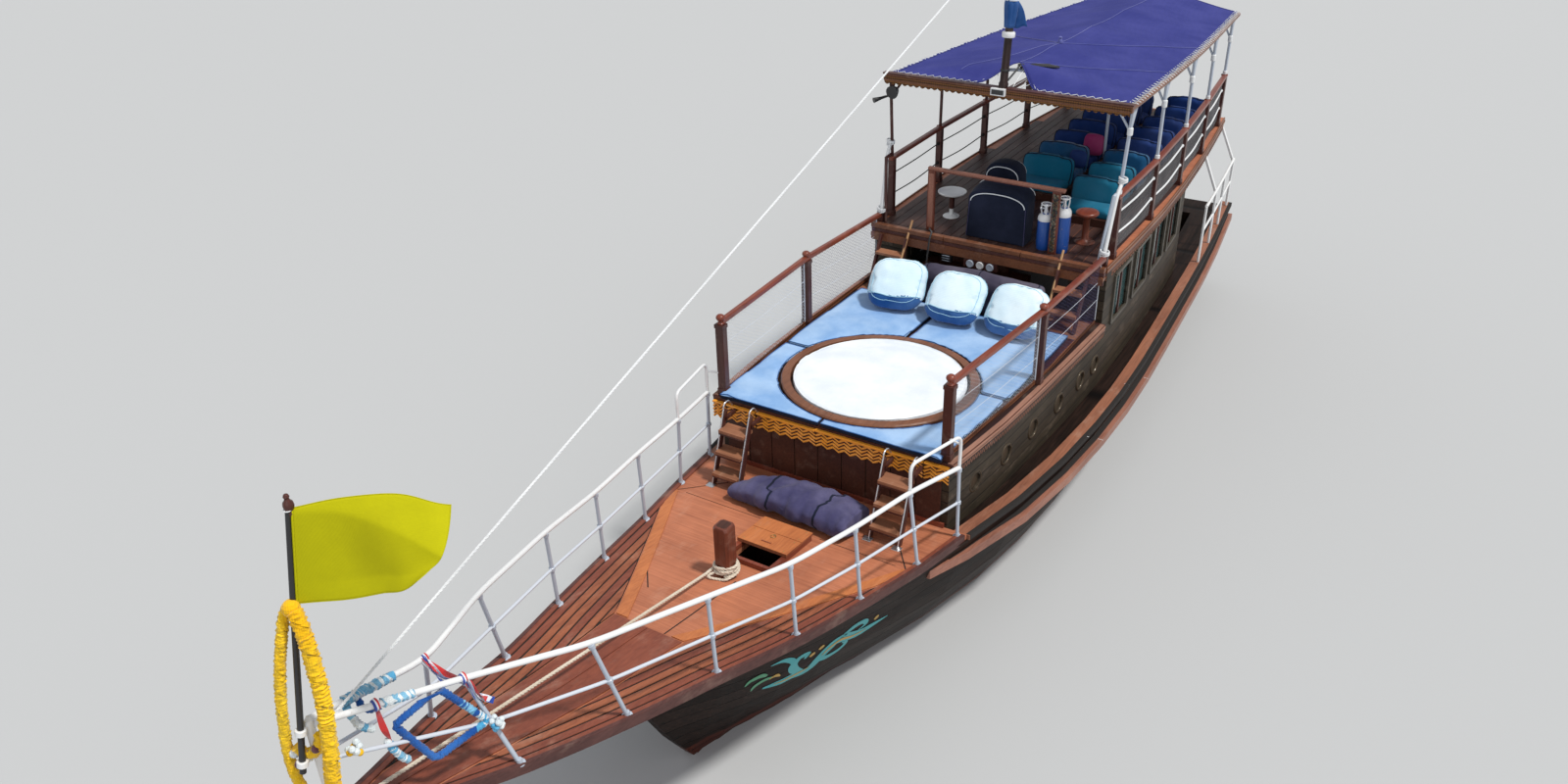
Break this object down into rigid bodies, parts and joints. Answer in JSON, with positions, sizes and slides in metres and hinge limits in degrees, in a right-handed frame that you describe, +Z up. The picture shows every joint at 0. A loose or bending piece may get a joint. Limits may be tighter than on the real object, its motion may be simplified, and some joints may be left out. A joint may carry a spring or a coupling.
{
  "type": "classic sailboat",
  "caption": "Wooden motor-sailing tour boat afloat, with cabins, a canvas sun bed, an awning over the upper deck, mast, bow pulpit, rudder and propeller.",
  "frame": {"origin": "on the waterline, on the boat's centre line, about amidships", "axes": "+X towards the bow, +Y to port, +Z up"},
  "size_m": [18.0515, 4.2496, 8.7407],
  "materials": {
    "hull_paint": "painted satin",
    "dark_wood": "satin",
    "deck_wood": "satin",
    "rail_wood": "varnished",
    "gold_paint": "satin",
    "white_pipe": "gloss",
    "white_cloth": "matte",
    "blue_cloth": "matte",
    "navy_cloth": "matte",
    "awning_cloth": "matte",
    "teal_cloth": "matte",
    "rope": "matte",
    "yellow_cloth": "matte",
    "bronze": "satin",
    "cylinder_paint": "gloss"
  },
  "bodies": {
    "boat": {"hull": "hull_paint", "rubbing_strake_port": "deck_wood", "rubbing_strake_starboard": "deck_wood", "cap_rail_port": "deck_wood", "cap_rail_starboard": "deck_wood", "foredeck": "deck_wood", "beak_beam": "dark_wood", "forward_cabin": "dark_wood", "sun_deck": "dark_wood", "saloon": "dark_wood", "dashboard": "dark_wood", "upper_deck": "dark_wood", "mast": "dark_wood", "gold_fascia": "gold_paint", "bow_ladder_port": "rail_wood", "bow_ladder_starboard": "rail_wood", "sun_rail_port": "rail_wood", "sun_rail_starboard": "rail_wood", "upper_deck_beam": "rail_wood", "deck_steps_port": "rail_wood", "deck_steps_starboard": "rail_wood", "helm_rail": "rail_wood", "upper_rail_port": "rail_wood", "upper_rail_starboard": "rail_wood", "awning_front_beam": "rail_wood", "samson_post": "rail_wood", "hatch_coaming": "rail_wood", "bed_ring": "rail_wood", "sun_mattress": "blue_cloth", "bolster": "navy_cloth", "helm_console": "navy_cloth", "canvas_bundle": "navy_cloth", "round_cushion": "white_cloth", "pillow_1": "white_cloth", "pillow_2": "white_cloth", "pillow_3": "white_cloth", "side_table": "white_cloth", "gas_cylinders": "cylinder_paint", "furled_cloth": "cylinder_paint", "lounge_port": "teal_cloth", "lounge_starboard": "teal_cloth", "awning_bows": "white_pipe", "awning_posts_port": "white_pipe", "awning_posts_starboard": "white_pipe", "flagstaff": "white_pipe", "pulpit_port": "white_pipe", "pulpit_starboard": "white_pipe", "aft_rail_port": "white_pipe", "aft_rail_starboard": "white_pipe", "stool": "white_pipe", "awning": "awning_cloth", "forestay": "rope", "anchor_warp": "rope", "yellow_flag": "yellow_cloth"},
    "rudder": {"rudder": "hull_paint"},
    "propeller": {"propeller": "bronze"},
    "steering_wheel": {"steering_wheel": "rail_wood"},
    "hatch_lid": {"hatch_lid": "deck_wood"}
  },
  "joints": [
    {"name": "propeller_spin", "type": "hinge", "parent": "boat", "child": "propeller", "pos_m": [-7.65, 0, -0.78], "axis": [1, 0, 0], "continuous": true},
    {"name": "rudder_turn", "type": "hinge", "parent": "boat", "child": "rudder", "pos_m": [-8.33, 0, -0.7], "axis": [0, 0, 1], "range_deg": [-35, 35]},
    {"name": "wheel_turn", "type": "hinge", "parent": "boat", "child": "steering_wheel", "pos_m": [-2.29, -0.225, 2.08], "axis": [1, 0, 0], "range_deg": [-540, 540]},
    {"name": "hatch_slide", "type": "slide", "parent": "boat", "child": "hatch_lid", "axis": [0.9934, 0, 0.115], "range_m": [0, 0.25]}
  ],
  "couplings": [
    {"joint": "wheel_turn", "follows": "rudder_turn", "ratio": 15.4}
  ]
}
